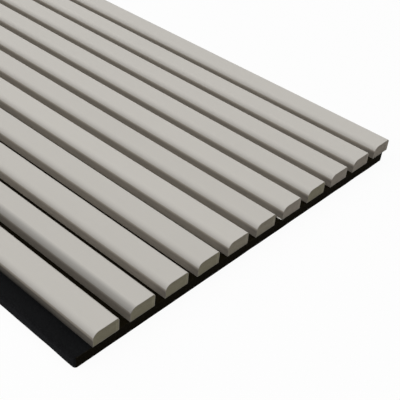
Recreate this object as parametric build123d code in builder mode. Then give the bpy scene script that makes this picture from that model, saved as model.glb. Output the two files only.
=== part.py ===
"""Acoustic slat panel: round-edged fibreboard slats glued in a row on one sheet of black felt board.

X runs along the slats, Y across them and Z up, in millimetres. The origin is under the middle of
the panel, so the felt's back lies on the floor at Z = 0. The bare felt lip is on the -Y side, and
the last slat stands out past the felt on the +Y side, where it covers the next panel's lip.
"""
import os

from build123d import *

# Driving dimensions
panel_length = 2400
slat_count = 11
slat_width = 28
slat_thickness = 14
slat_gap = 12
lip_side_round = 7  # radius of each slat's top long edge on the lip side
far_side_round = 3  # radius of its other top long edge
slat_overhang = 6  # of the last slat past the felt
felt_thickness = 11
felt_edge_round = 3.5  # radius of the felt's two long upper edges
felt_corner_round = 3  # radius of the felt's four corners, seen from above

# Panels set side by side keep one pitch, because the felt is a whole number of pitches wide
slat_pitch = slat_width + slat_gap
felt_width = slat_count * slat_pitch
lip_width = slat_gap + slat_overhang
overall_width = felt_width + slat_overhang
felt_start = -overall_width / 2
slat_start = felt_start + lip_width

os.makedirs("parts", exist_ok=True)


# Felt backing: one flat sheet that carries every slat, pressed round along its two long upper edges
felt_middle = felt_start + felt_width / 2

with BuildPart() as felt_backing:
    with BuildSketch(Plane.YZ.offset(-panel_length / 2)) as felt_section:
        with Locations((felt_middle, felt_thickness / 2)):
            Rectangle(felt_width, felt_thickness)
        fillet(felt_section.vertices().group_by(Axis.Y)[-1], felt_edge_round)
    extrude(amount=panel_length)
    with BuildSketch(Plane.XY) as felt_outline:
        with Locations((0, felt_middle)):
            RectangleRounded(panel_length, felt_width, felt_corner_round)
    extrude(amount=felt_thickness, mode=Mode.INTERSECT)

felt_backing.part.label = "felt_backing"
export_step(felt_backing.part, "parts/felt_backing.step")


# Slats: one section, drawn across the panel on top of the felt and run along its whole length
for index in range(slat_count):
    name = f"slat_{index + 1:02d}"
    middle = slat_start + index * slat_pitch + slat_width / 2

    with BuildPart() as slat:
        with BuildSketch(Plane.YZ.offset(-panel_length / 2)) as section:
            with Locations((middle, felt_thickness + slat_thickness / 2)):
                Rectangle(slat_width, slat_thickness)
            top_corners = section.vertices().group_by(Axis.Y)[-1].sort_by(Axis.X)
            fillet(top_corners[0], lip_side_round)
            fillet(top_corners[-1], far_side_round)
        extrude(amount=panel_length)

    slat.part.label = name
    export_step(slat.part, f"parts/{name}.step")
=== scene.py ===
"""Acoustic slat panel: warm-grey slats on a black felt board, lying on a white studio floor."""
import math

import bpy
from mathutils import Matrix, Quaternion, Vector, noise


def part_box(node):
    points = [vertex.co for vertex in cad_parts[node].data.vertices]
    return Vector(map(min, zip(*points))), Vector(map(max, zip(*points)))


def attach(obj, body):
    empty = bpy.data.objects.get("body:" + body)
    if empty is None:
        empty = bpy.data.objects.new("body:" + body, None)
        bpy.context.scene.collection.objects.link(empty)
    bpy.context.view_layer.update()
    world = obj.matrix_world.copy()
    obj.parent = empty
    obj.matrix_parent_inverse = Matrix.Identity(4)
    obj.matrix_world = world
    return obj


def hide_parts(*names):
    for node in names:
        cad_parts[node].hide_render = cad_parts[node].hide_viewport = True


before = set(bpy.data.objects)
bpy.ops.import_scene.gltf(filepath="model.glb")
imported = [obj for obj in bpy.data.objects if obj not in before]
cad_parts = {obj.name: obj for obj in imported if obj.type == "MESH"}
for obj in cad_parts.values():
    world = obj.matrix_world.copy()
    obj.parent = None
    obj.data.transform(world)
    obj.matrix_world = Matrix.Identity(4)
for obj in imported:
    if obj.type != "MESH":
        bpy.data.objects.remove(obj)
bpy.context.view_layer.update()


# Felt backing: one sheet of needled black polyester board, about as stiff as card. Its two long edges
# are pressed round and tinted greyer, its sawn ends stay deep black, and painted warm shade darkens the
# face between the slats. The slats are glued to its upper face, and a lip of it stays bare beside the first
# slat.
felt_low, felt_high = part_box("felt_backing")
first_slat_low, first_slat_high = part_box("slat_01")
lip_end = (first_slat_low.y + first_slat_high.y) / 2  # out of sight under the first slat
felt_corner_round = 0.003
felt_pressed_round = 0.0035
felt_sawn_round = 0.0006
felt_lower_round = 0.0004
felt_edge_steps = 6
felt_corner_steps = 6
felt_outline_step = 0.004
felt_waver = 0.00025
felt_waver_scale = 45.0
felt_waver_upright = 3  # times as quick a change with height as along the edge
felt_waver_inset = 0.5  # keeps the edge close to the board's own size, not outside it
felt_colour = (0.0043, 0.0044, 0.0047)
felt_pressed_tint = (1.8, 1.75, 1.8, 1.0)
felt_raw_and_gap_shade_colour = (0.0120, 0.0100, 0.0064)
felt_between_slats_painted_shade = (0.72, 0.70, 0.55, 1.0)
felt_fibre_scale = 420.0
felt_fibre_detail = 4.0
felt_fibre_swirl = 5.0
felt_fibre_tones = ((0.0, 0.6), (0.5, 0.7), (0.6, 1.2), (0.7, 3.4), (1.0, 3.4))
felt_sheen = {"Sheen Weight": 0.03, "Sheen Roughness": 0.5, "Sheen Tint": (0.85, 0.9, 1.0, 1.0)}


def link(tree, source, target):
    tree.links.new(source, target)


def connect(tree, socket, value):
    """Sets a node's socket to a number, or links it to another node's output."""
    if isinstance(value, (int, float)):
        socket.default_value = value
    else:
        link(tree, value, socket)


def math_node(tree, operation, *values):
    node = tree.nodes.new("ShaderNodeMath")
    node.operation = operation
    for socket, value in zip(node.inputs, values):
        connect(tree, socket, value)
    return node.outputs[0]


def surface_texture_group(coarse_detail=3.0, fine_detail=5.0, fine_roughness=0.65):
    """A coarse and a fine noise, drawn out along each axis by the stretch and swirled like fibres.

    They are put out as a tone around 1, for colour, and as a height, for bump.
    """
    group = bpy.data.node_groups.new("surface_texture", "ShaderNodeTree")
    sockets = group.interface
    sockets.new_socket("Stretch", in_out="INPUT", socket_type="NodeSocketVector")
    for name in ("Coarse Scale", "Fine Scale", "Coarse Share", "Swirl", "Tone Spread"):
        sockets.new_socket(name, in_out="INPUT", socket_type="NodeSocketFloat")
    for name in ("Tone", "Height"):
        sockets.new_socket(name, in_out="OUTPUT", socket_type="NodeSocketFloat")

    nodes = group.nodes
    given = nodes.new("NodeGroupInput").outputs
    result = nodes.new("NodeGroupOutput").inputs
    place = nodes.new("ShaderNodeTexCoord")
    drawn_out = nodes.new("ShaderNodeVectorMath")
    drawn_out.operation = "MULTIPLY"
    link(group, place.outputs["Object"], drawn_out.inputs[0])
    link(group, given["Stretch"], drawn_out.inputs[1])

    coarse = nodes.new("ShaderNodeTexNoise")
    coarse.inputs["Detail"].default_value = coarse_detail
    fine = nodes.new("ShaderNodeTexNoise")
    fine.inputs["Detail"].default_value = fine_detail
    fine.inputs["Roughness"].default_value = fine_roughness
    link(group, given["Swirl"], fine.inputs["Distortion"])
    for texture, scale in ((coarse, "Coarse Scale"), (fine, "Fine Scale")):
        link(group, drawn_out.outputs["Vector"], texture.inputs["Vector"])
        link(group, given[scale], texture.inputs["Scale"])

    both = nodes.new("ShaderNodeMix")
    both.data_type = "FLOAT"
    link(group, given["Coarse Share"], both.inputs["Factor"])
    link(group, fine.outputs["Fac"], both.inputs["A"])
    link(group, coarse.outputs["Fac"], both.inputs["B"])

    # Tone = 1 + (noise - 0.5) x spread, because the noise lies around 0.5
    centred = math_node(group, "SUBTRACT", both.outputs["Result"], 0.5)
    tone = math_node(group, "MULTIPLY_ADD", centred, given["Tone Spread"], 1.0)
    link(group, tone, result["Tone"])
    link(group, both.outputs["Result"], result["Height"])
    return group


surface_texture = surface_texture_group()


def shade_by(material, source):
    """Multiplies the material's colour by one more tone."""
    tree = material.node_tree
    base = tree.nodes["Principled BSDF"].inputs["Base Color"]
    shaded = tree.nodes.new("ShaderNodeMix")
    shaded.data_type = "RGBA"
    shaded.blend_type = "MULTIPLY"
    shaded.inputs["Factor"].default_value = 1.0
    if base.is_linked:
        link(tree, base.links[0].from_socket, shaded.inputs["A"])
    else:
        shaded.inputs["A"].default_value = base.default_value
    link(tree, source, shaded.inputs["B"])
    link(tree, shaded.outputs["Result"], base)


def textured_material(name, colour, roughness, specular, texture, bump_distance, bump_strength):
    """A matt material whose colour is varied and whose surface is roughened by the shared texture."""
    material = bpy.data.materials.new(name)
    material.use_nodes = True
    tree = material.node_tree
    shader = tree.nodes["Principled BSDF"]
    shader.inputs["Base Color"].default_value = (*colour, 1.0)
    shader.inputs["Roughness"].default_value = roughness
    shader.inputs["Specular IOR Level"].default_value = specular

    surface = tree.nodes.new("ShaderNodeGroup")
    surface.node_tree = surface_texture
    for socket, value in texture.items():
        surface.inputs[socket].default_value = value
    shade_by(material, surface.outputs["Tone"])

    bump = tree.nodes.new("ShaderNodeBump")
    bump.name = "surface_bump"
    bump.inputs["Distance"].default_value = bump_distance
    bump.inputs["Strength"].default_value = bump_strength
    link(tree, surface.outputs["Height"], bump.inputs["Height"])
    link(tree, bump.outputs["Normal"], shader.inputs["Normal"])
    return material


def shade_by_ramp(material, source, tones):
    """Multiplies the material's colour by tones that follow a value running from 0 to 1."""
    ramp = material.node_tree.nodes.new("ShaderNodeValToRGB")
    stops = ramp.color_ramp.elements
    while len(stops) < len(tones):
        stops.new(0.5)
    for stop, (position, tone) in zip(stops, tones):
        stop.position = position
        stop.color = (tone, tone, tone, 1.0)
    link(material.node_tree, source, ramp.inputs["Fac"])
    shade_by(material, ramp.outputs["Color"])


def attribute_value(material, name):
    attribute = material.node_tree.nodes.new("ShaderNodeAttribute")
    attribute.attribute_name = name
    return attribute.outputs["Fac"]


def add_tint(material, name, tint):
    """Tints the material's colour wherever the named attribute is 1, and fades to none where it is 0."""
    tree = material.node_tree
    tinted = tree.nodes.new("ShaderNodeMix")
    tinted.data_type = "RGBA"
    tinted.inputs["A"].default_value = (1.0, 1.0, 1.0, 1.0)
    tinted.inputs["B"].default_value = tint
    link(tree, attribute_value(material, name), tinted.inputs["Factor"])
    shade_by(material, tinted.outputs["Result"])


def add_pale_fibres(material):
    """Single paler fibres that wind through the black ones."""
    tree = material.node_tree
    place = tree.nodes.new("ShaderNodeTexCoord")
    fibres = tree.nodes.new("ShaderNodeTexNoise")
    fibres.inputs["Scale"].default_value = felt_fibre_scale
    fibres.inputs["Detail"].default_value = felt_fibre_detail
    fibres.inputs["Distortion"].default_value = felt_fibre_swirl
    link(tree, place.outputs["Object"], fibres.inputs["Vector"])
    shade_by_ramp(material, fibres.outputs["Fac"], felt_fibre_tones)


felt_finish = {
    "roughness": 0.95, "bump_distance": 0.0006, "bump_strength": 0.9,
    "texture": {"Stretch": (1.0, 1.0, 1.6), "Coarse Scale": 160.0, "Fine Scale": 1300.0,
                "Coarse Share": 0.35, "Swirl": 2.5, "Tone Spread": 1.5},
}
felt_material = textured_material("black_felt", felt_colour, specular=0.045, **felt_finish)
raw_felt_and_gap_shade_material = textured_material("raw_felt_and_gap_shade", felt_raw_and_gap_shade_colour, specular=0.01, **felt_finish)
for material in (felt_material, raw_felt_and_gap_shade_material):
    add_pale_fibres(material)
# Pressed edges are tinted greyer, and painted warm shade darkens the raw felt between the slats. Raw felt
# has no nap to shine.
add_tint(felt_material, "pressed_edge", felt_pressed_tint)
add_tint(raw_felt_and_gap_shade_material, "between_slats", felt_between_slats_painted_shade)
felt_shader = felt_material.node_tree.nodes["Principled BSDF"]
for socket, value in felt_sheen.items():
    felt_shader.inputs[socket].default_value = value


def rounded_outline(low, high, corner_round, step):
    """Points and outward directions around a rectangle with rounded corners, anticlockwise."""
    outline = []
    centres = (
        (high.x - corner_round, high.y - corner_round),
        (low.x + corner_round, high.y - corner_round),
        (low.x + corner_round, low.y + corner_round),
        (high.x - corner_round, low.y + corner_round),
    )
    for corner, (x, y) in enumerate(centres):
        for part in range(felt_corner_steps + 1):
            angle = math.radians(90 * (corner + part / felt_corner_steps))
            outward = Vector((math.cos(angle), math.sin(angle)))
            outline.append((Vector((x, y)) + outward * corner_round, outward))
        next_x, next_y = centres[(corner + 1) % 4]
        start = outline[-1][0]
        end = Vector((next_x, next_y)) + outward * corner_round
        pieces = max(1, round((end - start).length / step))
        outline += [(start.lerp(end, piece / pieces), outward) for piece in range(1, pieces)]
    return outline


def blend(start, end, share):
    return start + (end - start) * share


def felt_mesh():
    """Rings round the board, from its back up over the lower and the upper edge to its upper face."""
    turns = [math.radians(90 * part / felt_edge_steps) for part in range(felt_edge_steps + 1)]
    rings = [(turn, False) for turn in turns] + [(turn, True) for turn in reversed(turns)]
    outline = rounded_outline(felt_low, felt_high, felt_corner_round, felt_outline_step)
    points = []
    pressed = []
    for turn, upper in rings:
        for point, outward in outline:
            long_side = outward.y ** 2
            if upper:
                edge_round = blend(felt_sawn_round, felt_pressed_round, long_side)
                height = felt_high.z - edge_round * (1 - math.cos(turn))
            else:
                edge_round = felt_lower_round
                height = felt_low.z + edge_round * (1 - math.cos(turn))
            waver_at = Vector((*point, felt_waver_upright * height)) * felt_waver_scale
            waver = felt_waver * (noise.noise(waver_at) - felt_waver_inset)
            place = point + outward * (waver - edge_round * (1 - math.sin(turn)))
            points.append((place.x, place.y, height))
            pressed.append(long_side * math.sin(turn))

    count = len(outline)
    faces = [tuple(reversed(range(count)))]
    raw_or_gap_shaded = [False]
    for ring in range(len(rings) - 1):
        start = ring * count
        for side in range(count):
            next_side = (side + 1) % count
            faces.append((start + side, start + next_side, start + count + next_side, start + count + side))
            outward = outline[side][1]
            raw_or_gap_shaded.append(abs(outward.x) > abs(outward.y))

    # The upper face is in two parts, the bare lip and the face between the slats
    def under_first_slat(facing):
        """The outline's point where they meet, at the sawn end that faces that way along X."""
        at_end = [index for index, (point, outward) in enumerate(outline) if round(outward.x) == facing]
        return min(at_end, key=lambda index: abs(outline[index][0].y - lip_end))

    top = (len(rings) - 1) * count
    back, front = under_first_slat(-1), under_first_slat(1)
    faces.append(tuple(top + index for index in range(back, front + 1)))
    faces.append(tuple(top + index for index in (*range(front, count), *range(back + 1))))
    # The lip keeps the black felt, and the face between the slats takes the raw felt as painted warm shade
    raw_or_gap_shaded += [False, True]

    mesh = bpy.data.meshes.new("felt_board")
    mesh.from_pydata(points, [], faces)
    mesh.polygons.foreach_set("use_smooth", [True] * len(mesh.polygons))
    mesh.attributes.new("pressed_edge", "FLOAT", "POINT").data.foreach_set("value", pressed)
    # The face between the slats is marked for its painted warm shade
    between_slats = [0.0] * (len(faces) - 1) + [1.0]
    mesh.attributes.new("between_slats", "FLOAT", "FACE").data.foreach_set("value", between_slats)
    mesh.materials.append(felt_material)
    mesh.materials.append(raw_felt_and_gap_shade_material)
    mesh.polygons.foreach_set("material_index", [int(is_raw_or_gap_shaded) for is_raw_or_gap_shaded in raw_or_gap_shaded])
    mesh.update()
    return mesh


def add_piece(name, mesh):
    piece = bpy.data.objects.new(name, mesh)
    bpy.context.scene.collection.objects.link(piece)
    return piece


def finished_mesh(piece):
    """The piece's mesh with its modifiers worked in, which are then taken off."""
    evaluated = piece.evaluated_get(bpy.context.evaluated_depsgraph_get())
    mesh = bpy.data.meshes.new_from_object(evaluated)
    mesh.name = piece.name
    piece.modifiers.clear()
    return mesh


def keep_flats_flat(piece):
    piece.modifiers.new("keep_flats_flat", "WEIGHTED_NORMAL").keep_sharp = True


felt_board = add_piece("felt_board", felt_mesh())
keep_flats_flat(felt_board)
felt_board.data = finished_mesh(felt_board)
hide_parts("felt_backing")
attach(felt_board, "root")


# Slats: strips of medium-density fibreboard with a matt warm-grey film over the top and both rounded
# edges. The walls below the film and the sawn ends are bare board. Each foot is glued to the felt. Painted
# shade darkens the lip-side flank of the first two slats, and of the others only beside the sawn ends.
slat_names = sorted(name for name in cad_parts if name.startswith("slat_"))
slat_lip_round = 0.007
slat_far_round = 0.003
slat_round_steps = 12
film_edge = 0.0005
sawn_arris = 0.0002
sawn_arris_steps = 2
sawn_arris_angle = math.radians(50)  # edges that turn by more than this get one
weld_distance = 1e-6
film_stop_slope = math.sin(math.radians(20))
sawn_end_slope = 0.5  # a face whose normal has more than this along X is a sawn end's
film_colour = (0.535, 0.513, 0.474)
core_colour = (0.339, 0.311, 0.220)
wall_colour = (0.348, 0.312, 0.265)
film_edge_colour = (0.44, 0.42, 0.36)
slat_tone_spread = 0.05
slat_tone_seed = 825  # plus the slat's number
# Painted shade: how dark the lip-side flank and the lower parts beside the sawn ends are painted, and how
# far it reaches
flank_with_end_shade_only = {"Painted Shade Tone": 1.0, "Painted Shade Tone At End": 1.0, "Painted Shade Tone Above": 1.0, "Painted Shade Reach": 0.001,
               "Painted End Shade": 0.58, "Painted End Shade Reach": 0.016}
flanks_with_painted_shade = {
    1: {"Painted Shade Tone": 0.05, "Painted Shade Tone At End": 0.24, "Painted Shade Tone Above": 0.53, "Painted Shade Reach": 0.00005,
        "Painted End Shade": 1.0, "Painted End Shade Reach": 0.05},
    2: {"Painted Shade Tone": 0.62, "Painted Shade Tone At End": 0.62, "Painted Shade Tone Above": 0.62, "Painted Shade Reach": 0.007,
        "Painted End Shade": 1.0, "Painted End Shade Reach": 0.016},
}
wall_top_share = 0.5  # of a slat's height, where the wall ends and the rounding starts
shade_full_share = 0.45  # of the painted shade's reach, over which it is at full strength
end_shade_heights = (0.7, 0.5)  # shares of a slat's height, where the painted shade at its ends starts and is full
grey_board_tint = (1.206, 1.166, 1.388, 1.0)
olive_boards = (1, 2, 3, 4, 8)  # the slats cut from them, counted from the lip
mixed_boards = (5, 6)
core_density_tones = ((0.0, 0.90), (0.2, 0.97), (0.5, 1.04), (0.8, 0.97), (1.0, 0.90))
core_strip_tones = ((0.0, 1.0), (0.875, 1.0), (0.885, 1.22), (0.90, 1.22), (0.91, 1.10), (1.0, 1.10))
# Painted light and shade up a bare wall, by share of its height
wall_painted_light_tones = ((0.0, 1.25), (0.14, 1.22), (0.29, 1.12), (0.43, 0.93), (0.58, 0.88), (0.67, 1.10))
saw_mark_scale = 230.0
saw_mark_waver = 3.0
saw_mark_detail = 3.0
saw_mark_depth = 0.00005
saw_mark_strength = 0.6

film_material = textured_material(
    "grey_film", film_colour, roughness=0.5, specular=0.25,
    texture={"Stretch": (0.35, 1.0, 1.0), "Coarse Scale": 9.0, "Fine Scale": 1400.0,
             "Coarse Share": 0.7, "Swirl": 0.0, "Tone Spread": 0.10},
    bump_distance=0.00006, bump_strength=0.7)
film_edge_material = textured_material(
    "film_edge", film_edge_colour, roughness=0.6, specular=0.2,
    texture={"Stretch": (1.0, 1.0, 1.0), "Coarse Scale": 250.0, "Fine Scale": 1500.0,
             "Coarse Share": 0.5, "Swirl": 0.0, "Tone Spread": 0.5},
    bump_distance=0.0001, bump_strength=0.4)
wall_material = textured_material(
    "bare_wall", wall_colour, roughness=0.85, specular=0.15,
    texture={"Stretch": (0.25, 1.0, 1.0), "Coarse Scale": 120.0, "Fine Scale": 1200.0,
             "Coarse Share": 0.4, "Swirl": 0.6, "Tone Spread": 0.35},
    bump_distance=0.0002, bump_strength=0.5)
core_material = textured_material(
    "sawn_fibreboard", core_colour, roughness=0.9, specular=0.15,
    texture={"Stretch": (1.0, 1.0, 2.5), "Coarse Scale": 160.0, "Fine Scale": 1200.0,
             "Coarse Share": 0.35, "Swirl": 0.6, "Tone Spread": 1.0},
    bump_distance=0.0003, bump_strength=0.8)


def add_saw_marks(material):
    """Shallow upright lines that the teeth leave across a sawn end."""
    tree = material.node_tree
    place = tree.nodes.new("ShaderNodeTexCoord")
    marks = tree.nodes.new("ShaderNodeTexWave")
    marks.bands_direction = "Y"
    marks.inputs["Scale"].default_value = saw_mark_scale
    marks.inputs["Distortion"].default_value = saw_mark_waver
    marks.inputs["Detail"].default_value = saw_mark_detail
    link(tree, place.outputs["Object"], marks.inputs["Vector"])
    bump = tree.nodes.new("ShaderNodeBump")
    bump.inputs["Distance"].default_value = saw_mark_depth
    bump.inputs["Strength"].default_value = saw_mark_strength
    link(tree, marks.outputs["Fac"], bump.inputs["Height"])
    link(tree, tree.nodes["surface_bump"].outputs["Normal"], bump.inputs["Normal"])
    link(tree, bump.outputs["Normal"], tree.nodes["Principled BSDF"].inputs["Normal"])


for material in (film_material, film_edge_material):
    shade_by(material, attribute_value(material, "slat_tone"))
# Painted shade on the lip-side flanks and low down beside the sawn ends
for material in (film_material, film_edge_material, wall_material):
    shade_by(material, attribute_value(material, "painted_shade_tone"))
# Painted light and shade on a bare wall: darkest just below the film, and paler towards its foot
shade_by_ramp(wall_material, attribute_value(wall_material, "share_of_height"), wall_painted_light_tones)
# Boards from different presses lean to olive or to grey. A board is denser, and so darker, near its two
# faces, and its sawn end is paler in a thin strip along its far side.
add_tint(core_material, "board_greyness", grey_board_tint)
shade_by_ramp(core_material, attribute_value(core_material, "share_of_height"), core_density_tones)
shade_by_ramp(core_material, attribute_value(core_material, "share_of_width"), core_strip_tones)
add_saw_marks(core_material)


def combine(tree, x, y, z):
    node = tree.nodes.new("ShaderNodeCombineXYZ")
    for socket, value in zip(node.inputs, (x, y, z)):
        connect(tree, socket, value)
    return node.outputs[0]


def fade(tree, value, start, end, first, last):
    """Goes from the first number to the last as the value goes from start to end, and stays there."""
    node = tree.nodes.new("ShaderNodeMapRange")
    for name, given in (("Value", value), ("From Min", start), ("From Max", end),
                        ("To Min", first), ("To Max", last)):
        connect(tree, node.inputs[name], given)
    return node.outputs["Result"]


def store(tree, geometry, name, value, domain):
    stored = tree.nodes.new("GeometryNodeStoreNamedAttribute")
    stored.data_type = "FLOAT"
    stored.domain = domain
    stored.inputs["Name"].default_value = name
    link(tree, geometry, stored.inputs["Geometry"])
    link(tree, value, stored.inputs["Value"])
    return stored.outputs["Geometry"]


def slat_tree():
    """A slat of the given section and length, lying along X with its foot's middle at the given place."""
    tree = bpy.data.node_groups.new("slat", "GeometryNodeTree")
    sockets = tree.interface
    for name in ("Length", "Width", "Thickness", "Lip Round", "Far Round", "Film Edge", "Tone Spread",
                 "Board Greyness", "Painted Shade Tone", "Painted Shade Tone At End", "Painted Shade Tone Above", "Painted Shade Reach",
                 "Painted End Shade", "Painted End Shade Reach"):
        sockets.new_socket(name, in_out="INPUT", socket_type="NodeSocketFloat")
    sockets.new_socket("Round Steps", in_out="INPUT", socket_type="NodeSocketInt")
    sockets.new_socket("Foot", in_out="INPUT", socket_type="NodeSocketVector")
    sockets.new_socket("Seed", in_out="INPUT", socket_type="NodeSocketInt")
    sockets.new_socket("Slat", in_out="OUTPUT", socket_type="NodeSocketGeometry")
    nodes = tree.nodes
    given = nodes.new("NodeGroupInput").outputs
    result = nodes.new("NodeGroupOutput").inputs

    def axes(vector):
        """The X, Y and Z of what a vector's node puts out."""
        parts = nodes.new("ShaderNodeSeparateXYZ")
        link(tree, vector.outputs[0], parts.inputs[0])
        return parts.outputs

    def section(width, thickness, lip_round, far_round, foot):
        """The slat's outline, standing on the given foot and rounded at its two upper corners only."""
        block = nodes.new("GeometryNodeCurvePrimitiveQuadrilateral")
        link(tree, width, block.inputs["Width"])
        link(tree, thickness, block.inputs["Height"])
        corner = axes(nodes.new("GeometryNodeInputPosition"))
        upper = math_node(tree, "GREATER_THAN", corner["Y"], 0.0)
        on_lip_side = math_node(tree, "LESS_THAN", corner["X"], 0.0)
        on_far_side = math_node(tree, "GREATER_THAN", corner["X"], 0.0)
        lip_part = math_node(tree, "MULTIPLY", on_lip_side, lip_round)
        far_part = math_node(tree, "MULTIPLY", on_far_side, far_round)
        radius = math_node(tree, "MULTIPLY", upper, math_node(tree, "ADD", lip_part, far_part))

        rounded = nodes.new("GeometryNodeFilletCurve")
        rounded.mode = "POLY"
        link(tree, block.outputs["Curve"], rounded.inputs["Curve"])
        link(tree, given["Round Steps"], rounded.inputs["Count"])
        link(tree, radius, rounded.inputs["Radius"])
        stood = nodes.new("GeometryNodeTransform")
        link(tree, rounded.outputs["Curve"], stood.inputs["Geometry"])
        middle = math_node(tree, "MULTIPLY_ADD", thickness, 0.5, foot)
        link(tree, combine(tree, 0.0, middle, 0.0), stood.inputs["Translation"])
        return stood.outputs["Geometry"]

    def coat(geometry, material, selection=None):
        coated = nodes.new("GeometryNodeSetMaterial")
        coated.inputs["Material"].default_value = material
        link(tree, geometry, coated.inputs["Geometry"])
        if selection:
            link(tree, selection, coated.inputs["Selection"])
        return coated.outputs["Geometry"]

    def join(*geometries):
        joined = nodes.new("GeometryNodeJoinGeometry")
        for geometry in geometries:
            link(tree, geometry, joined.inputs["Geometry"])
        return joined.outputs["Geometry"]

    def fill(curves, material):
        filled = nodes.new("GeometryNodeFillCurve")
        filled.mode = "NGONS"
        link(tree, join(*curves), filled.inputs["Curve"])
        return coat(filled.outputs["Mesh"], material)

    def upright(geometry, x):
        """Turns a flat drawing so that its X lies along Y and its Y points up, at the given X."""
        turned = nodes.new("GeometryNodeTransform")
        turned.inputs["Rotation"].default_value = (math.pi / 2, 0.0, math.pi / 2)
        link(tree, geometry, turned.inputs["Geometry"])
        link(tree, combine(tree, x, 0.0, 0.0), turned.inputs["Translation"])
        return turned.outputs["Geometry"]

    def flip(mesh):
        flipped = nodes.new("GeometryNodeFlipFaces")
        link(tree, mesh, flipped.inputs["Mesh"])
        return flipped.outputs["Mesh"]

    # Sawn ends: the core with a ring of film edge round it
    outer = section(given["Width"], given["Thickness"], given["Lip Round"], given["Far Round"], 0.0)
    core_width = math_node(tree, "MULTIPLY_ADD", given["Film Edge"], -2.0, given["Width"])
    core_thickness = math_node(tree, "MULTIPLY_ADD", given["Film Edge"], -2.0, given["Thickness"])
    core_lip_round = math_node(tree, "SUBTRACT", given["Lip Round"], given["Film Edge"])
    core_far_round = math_node(tree, "SUBTRACT", given["Far Round"], given["Film Edge"])
    inner = section(core_width, core_thickness, core_lip_round, core_far_round, given["Film Edge"])
    sawn_end = join(fill([inner], core_material), fill([outer, inner], film_edge_material))
    front = math_node(tree, "MULTIPLY", given["Length"], 0.5)
    back = math_node(tree, "MULTIPLY", given["Length"], -0.5)

    # The run between the ends, in three stretches, so that the painted shade can fade out near each end
    loop = nodes.new("GeometryNodeCurveToMesh")
    link(tree, outer, loop.inputs["Curve"])
    run = upright(loop.outputs["Mesh"], back)
    leading_edges = None
    between_ends = math_node(tree, "MULTIPLY_ADD", given["Painted End Shade Reach"], -2.0, given["Length"])
    for stretch in (given["Painted End Shade Reach"], between_ends, given["Painted End Shade Reach"]):
        drawn_on = nodes.new("GeometryNodeExtrudeMesh")
        drawn_on.mode = "EDGES"
        link(tree, run, drawn_on.inputs["Mesh"])
        link(tree, combine(tree, stretch, 0.0, 0.0), drawn_on.inputs["Offset"])
        if leading_edges:
            link(tree, leading_edges, drawn_on.inputs["Selection"])
        run = drawn_on.outputs["Mesh"]
        leading_edges = drawn_on.outputs["Top"]
    wrapped = coat(flip(run), film_material)

    closed = join(wrapped, upright(sawn_end, front), flip(upright(sawn_end, back)))
    welded = nodes.new("GeometryNodeMergeByDistance")
    welded.inputs["Distance"].default_value = weld_distance
    link(tree, closed, welded.inputs["Geometry"])

    # One film tone for the whole slat, so its seed is the draw's ID as well
    film_tone = nodes.new("FunctionNodeRandomValue")
    film_tone.data_type = "FLOAT"
    lowest_tone, highest_tone = film_tone.inputs[2:4]
    link(tree, math_node(tree, "SUBTRACT", 1.0, given["Tone Spread"]), lowest_tone)
    highest_tone.default_value = 1.0
    for name in ("ID", "Seed"):
        link(tree, given["Seed"], film_tone.inputs[name])

    # Places across the section, and painted shade that fades away from the lip-side wall and from the sawn
    # ends
    place = axes(nodes.new("GeometryNodeInputPosition"))
    from_middle = math_node(tree, "DIVIDE", place["Y"], given["Width"])
    share_of_width = math_node(tree, "ADD", from_middle, 0.5)
    share_of_height = math_node(tree, "DIVIDE", place["Z"], given["Thickness"])
    from_lip_wall = math_node(tree, "MULTIPLY", share_of_width, given["Width"])
    full_reach = math_node(tree, "MULTIPLY", given["Painted Shade Reach"], shade_full_share)
    from_end = math_node(tree, "SUBTRACT", front, math_node(tree, "ABSOLUTE", place["X"]))
    tone_here = fade(tree, from_end, given["Painted End Shade Reach"], 0.0, given["Painted Shade Tone"], given["Painted Shade Tone At End"])
    tone_here = fade(tree, share_of_height, wall_top_share, 0.0, given["Painted Shade Tone Above"], tone_here)
    flank_tone = fade(tree, from_lip_wall, given["Painted Shade Reach"], full_reach, 1.0, tone_here)
    end_tone = fade(tree, from_end, given["Painted End Shade Reach"], 0.0, 1.0, given["Painted End Shade"])
    end_tone = fade(tree, share_of_height, *end_shade_heights, 1.0, end_tone)
    painted_shade_tone = math_node(tree, "MULTIPLY", flank_tone, end_tone)
    toned = welded.outputs["Geometry"]
    for name, value, domain in (("slat_tone", film_tone.outputs[1], "FACE"),
                                ("board_greyness", given["Board Greyness"], "FACE"),
                                ("painted_shade_tone", painted_shade_tone, "POINT"),
                                ("share_of_width", share_of_width, "POINT"),
                                ("share_of_height", share_of_height, "POINT")):
        toned = store(tree, toned, name, value, domain)

    placed = nodes.new("GeometryNodeTransform")
    link(tree, toned, placed.inputs["Geometry"])
    link(tree, given["Foot"], placed.inputs["Translation"])
    smooth = nodes.new("GeometryNodeSetShadeSmooth")
    link(tree, placed.outputs["Geometry"], smooth.inputs["Geometry"])
    whole = nodes.new("GeometryNodeRealizeInstances")
    link(tree, smooth.outputs["Geometry"], whole.inputs["Geometry"])

    # The film stops just before the rounding turns upright, and the wall and foot below it are bare
    facing = axes(nodes.new("GeometryNodeInputNormal"))
    along_run = math_node(tree, "LESS_THAN", math_node(tree, "ABSOLUTE", facing["X"]), sawn_end_slope)
    below_film = math_node(tree, "LESS_THAN", facing["Z"], film_stop_slope)
    bare = math_node(tree, "MULTIPLY", along_run, below_film)
    link(tree, coat(whole.outputs["Geometry"], wall_material, bare), result["Slat"])
    return tree


slat_nodes = slat_tree()


def board_greyness(number):
    """How grey the board is that a slat was cut from: 0 for olive, 1 for grey."""
    if number in olive_boards:
        return 0.0
    if number in mixed_boards:
        return 0.5
    return 1.0


def set_inputs(modifier, values):
    """Sets a tree's inputs, given by their names, through the sockets' identifiers."""
    for item in modifier.node_group.interface.items_tree:
        if item.in_out == "INPUT" and item.name in values:
            modifier[item.identifier] = values[item.name]


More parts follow.
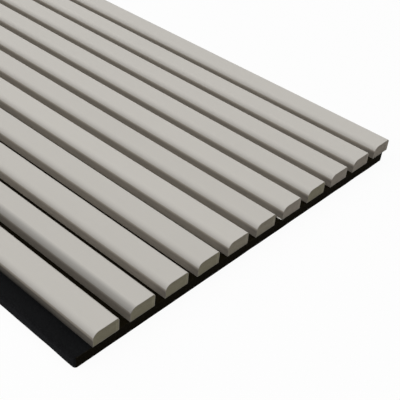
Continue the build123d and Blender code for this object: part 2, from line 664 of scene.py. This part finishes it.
for number, name in enumerate(slat_names, start=1):
    low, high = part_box(name)
    slat_name = f"film_slat_{number:02d}"
    slat = add_piece(slat_name, bpy.data.meshes.new(slat_name))
    shape = slat.modifiers.new("slat", "NODES")
    shape.node_group = slat_nodes
    set_inputs(shape, {
        "Length": high.x - low.x, "Width": high.y - low.y, "Thickness": high.z - low.z,
        "Lip Round": slat_lip_round, "Far Round": slat_far_round, "Round Steps": slat_round_steps,
        "Film Edge": film_edge, "Tone Spread": slat_tone_spread, "Seed": slat_tone_seed + number,
        "Board Greyness": board_greyness(number),
        "Foot": ((low.x + high.x) / 2, (low.y + high.y) / 2, low.z),
        **flanks_with_painted_shade.get(number, flank_with_end_shade_only),
    })
    arris = slat.modifiers.new("sawn_arris", "BEVEL")
    arris.width = sawn_arris
    arris.segments = sawn_arris_steps
    arris.limit_method = "ANGLE"
    arris.angle_limit = sawn_arris_angle
    keep_flats_flat(slat)
    slat.data = finished_mesh(slat)
    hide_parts(name)
    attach(slat, "root")


# Glue: the slats are stuck down with white wood glue, and one bead of it has been squeezed out at the
# foot of the seventh slat's lip-side wall, beside the sawn end, and has set there.
glue_length = 0.0065
glue_radius = 0.0009
glue_from_end = 0.0004
glue_rings = 11
glue_ring_points = 10
glue_lumps = 0.25
glue_lump_scale = 9.0
glue_colour = (0.80, 0.78, 0.73)
glued_slat = 7  # counted from the lip


def glue_mesh(start, length, radius):
    """A lumpy bead that tapers to both ends, lying along -X from the start in the wall's inner corner."""
    points = [start]
    for ring in range(1, glue_rings):
        share = ring / glue_rings
        swell = radius * math.sqrt(1 - (2 * share - 1) ** 2)
        swell *= 1 + glue_lumps * noise.noise(Vector((glue_lump_scale * share, 0.0, 0.0)))
        for part in range(glue_ring_points):
            angle = 2 * math.pi * part / glue_ring_points
            around = (swell * math.cos(angle), swell * math.sin(angle))
            points.append(start + Vector((-length * share, *around)))
    points.append(start + Vector((-length, 0.0, 0.0)))

    faces = []
    last = len(points) - 1
    for part in range(glue_ring_points):
        next_part = (part + 1) % glue_ring_points
        faces.append((0, 1 + part, 1 + next_part))
        for ring in range(glue_rings - 2):
            here = 1 + ring * glue_ring_points
            beyond = here + glue_ring_points
            faces.append((here + part, beyond + part, beyond + next_part, here + next_part))
        faces.append((last, last - glue_ring_points + next_part, last - glue_ring_points + part))
    mesh = bpy.data.meshes.new("glue_bead")
    mesh.from_pydata([tuple(point) for point in points], [], faces)
    mesh.polygons.foreach_set("use_smooth", [True] * len(mesh.polygons))
    mesh.update()
    return mesh


glued_low, glued_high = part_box(slat_names[glued_slat - 1])
glue_start = Vector((glued_high.x - glue_from_end, glued_low.y, glued_low.z))
glue_bead = add_piece("glue_bead", glue_mesh(glue_start, glue_length, glue_radius))
glue_bead.data.materials.append(textured_material(
    "set_glue", glue_colour, roughness=0.4, specular=0.4,
    texture={"Stretch": (1.0, 1.0, 1.0), "Coarse Scale": 600.0, "Fine Scale": 2500.0,
             "Coarse Share": 0.6, "Swirl": 0.0, "Tone Spread": 0.15},
    bump_distance=0.0001, bump_strength=0.3))
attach(glue_bead, "root")


# Studio: a wide pale floor, one large soft lamp overhead on the lip's side and an even sky. Rays that show
# the background see floor and sky as white, and the floor keeps a faint shadow near the panel. None of
# it is part of the panel.
floor_reach = 40.0
floor_colour = (0.30, 0.30, 0.30)
floor_seen_colour = (0.8, 0.8, 0.8)
floor_shadow_share = 0.06
floor_shadow_reach = (1.5, 6.0)  # from the panel's middle, where the floor's shadows start to fade and end
lamp_size = (6.0, 6.0)
lamp_height = 1.5
lamp_middle_y = -1.3
lamp_power = 131.0
sky_strength = 0.03


def seen_directly(tree):
    """A factor of 1 for rays that show the background: from the camera, by mirror or through glass."""
    path = tree.nodes.new("ShaderNodeLightPath")
    factor = path.outputs["Is Camera Ray"]
    for ray in ("Is Glossy Ray", "Is Transmission Ray"):
        factor = math_node(tree, "MAXIMUM", factor, path.outputs[ray])
    return factor


def mix_shaders(tree, factor, first, second):
    """The first shader where the factor is 0, and the second where it is 1."""
    mixed = tree.nodes.new("ShaderNodeMixShader")
    link(tree, factor, mixed.inputs["Fac"])
    link(tree, first.outputs[0], mixed.inputs[1])
    link(tree, second.outputs[0], mixed.inputs[2])
    return mixed


def floor_material():
    """A floor that lights the panel as pale grey, and is seen as white with a share of the real shadow."""
    material = bpy.data.materials.new("studio_floor")
    material.use_nodes = True
    tree = material.node_tree
    tree.nodes.clear()
    output = tree.nodes.new("ShaderNodeOutputMaterial")
    lit = tree.nodes.new("ShaderNodeBsdfDiffuse")
    lit.inputs["Color"].default_value = (*floor_colour, 1.0)
    shadowed = tree.nodes.new("ShaderNodeBsdfDiffuse")
    shadowed.inputs["Color"].default_value = (*floor_seen_colour, 1.0)
    white = tree.nodes.new("ShaderNodeEmission")
    white.inputs["Strength"].default_value = 1.0
    place = tree.nodes.new("ShaderNodeTexCoord")
    from_middle = tree.nodes.new("ShaderNodeVectorMath")
    from_middle.operation = "LENGTH"
    link(tree, place.outputs["Object"], from_middle.inputs[0])
    shadow_share = fade(tree, from_middle.outputs["Value"], *floor_shadow_reach, floor_shadow_share, 0.0)
    seen = mix_shaders(tree, shadow_share, white, shadowed)
    both = mix_shaders(tree, seen_directly(tree), lit, seen)
    link(tree, both.outputs[0], output.inputs["Surface"])
    return material


floor_mesh = bpy.data.meshes.new("floor")
floor_corners = [(x * floor_reach, y * floor_reach, felt_low.z)
                 for x, y in ((-1, -1), (1, -1), (1, 1), (-1, 1))]
floor_mesh.from_pydata(floor_corners, [], [(0, 1, 2, 3)])
floor = add_piece("floor", floor_mesh)
floor_mesh.materials.append(floor_material())

sky = bpy.data.worlds.new("studio_sky")
bpy.context.scene.world = sky
sky.use_nodes = True
sky_tree = sky.node_tree
sky_tree.nodes.clear()
sky_output = sky_tree.nodes.new("ShaderNodeOutputWorld")
sky_light = sky_tree.nodes.new("ShaderNodeBackground")
sky_seen = sky_tree.nodes.new("ShaderNodeBackground")
for background, strength in ((sky_light, sky_strength), (sky_seen, 1.0)):
    background.inputs["Color"].default_value = (1.0, 1.0, 1.0, 1.0)
    background.inputs["Strength"].default_value = strength
sky_mix = mix_shaders(sky_tree, seen_directly(sky_tree), sky_light, sky_seen)
link(sky_tree, sky_mix.outputs[0], sky_output.inputs["Surface"])

softbox_light = bpy.data.lights.new("softbox", "AREA")
softbox_light.shape = "RECTANGLE"
softbox_light.size, softbox_light.size_y = lamp_size
softbox_light.energy = lamp_power
softbox = bpy.data.objects.new("softbox", softbox_light)
softbox.location = (0.0, lamp_middle_y, lamp_height)
bpy.context.scene.collection.objects.link(softbox)


# Camera: a still camera held above the corner where the lip meets the sawn end, and turned a little
# about its own view line. It was fitted to the panel's edges in the photograph, so the slats run out
# of the frame at its left and upper sides.
camera_past_end = 0.3275
camera_outside_lip = 0.2685
camera_height = 0.4874
view_azimuth = math.radians(39.344)
view_elevation = math.radians(36.943)
view_roll = math.radians(5.771)
sensor_width = 36.0
image_width = 400
focal_pixels = 808.2

camera_data = bpy.data.cameras.new("camera")
camera_data.sensor_width = sensor_width
camera_data.lens = focal_pixels / image_width * sensor_width
camera = bpy.data.objects.new("camera", camera_data)
camera.location = (
    felt_high.x + camera_past_end, felt_low.y - camera_outside_lip, felt_low.z + camera_height)
level = math.cos(view_elevation)
view_line = Vector((
    -math.sin(view_azimuth) * level, math.cos(view_azimuth) * level, -math.sin(view_elevation)))
camera.rotation_mode = "QUATERNION"
camera.rotation_quaternion = view_line.to_track_quat("-Z", "Y") @ Quaternion((0.0, 0.0, 1.0), view_roll)
bpy.context.scene.collection.objects.link(camera)
bpy.context.scene.camera = camera
bpy.context.scene.view_settings.view_transform = "Standard"
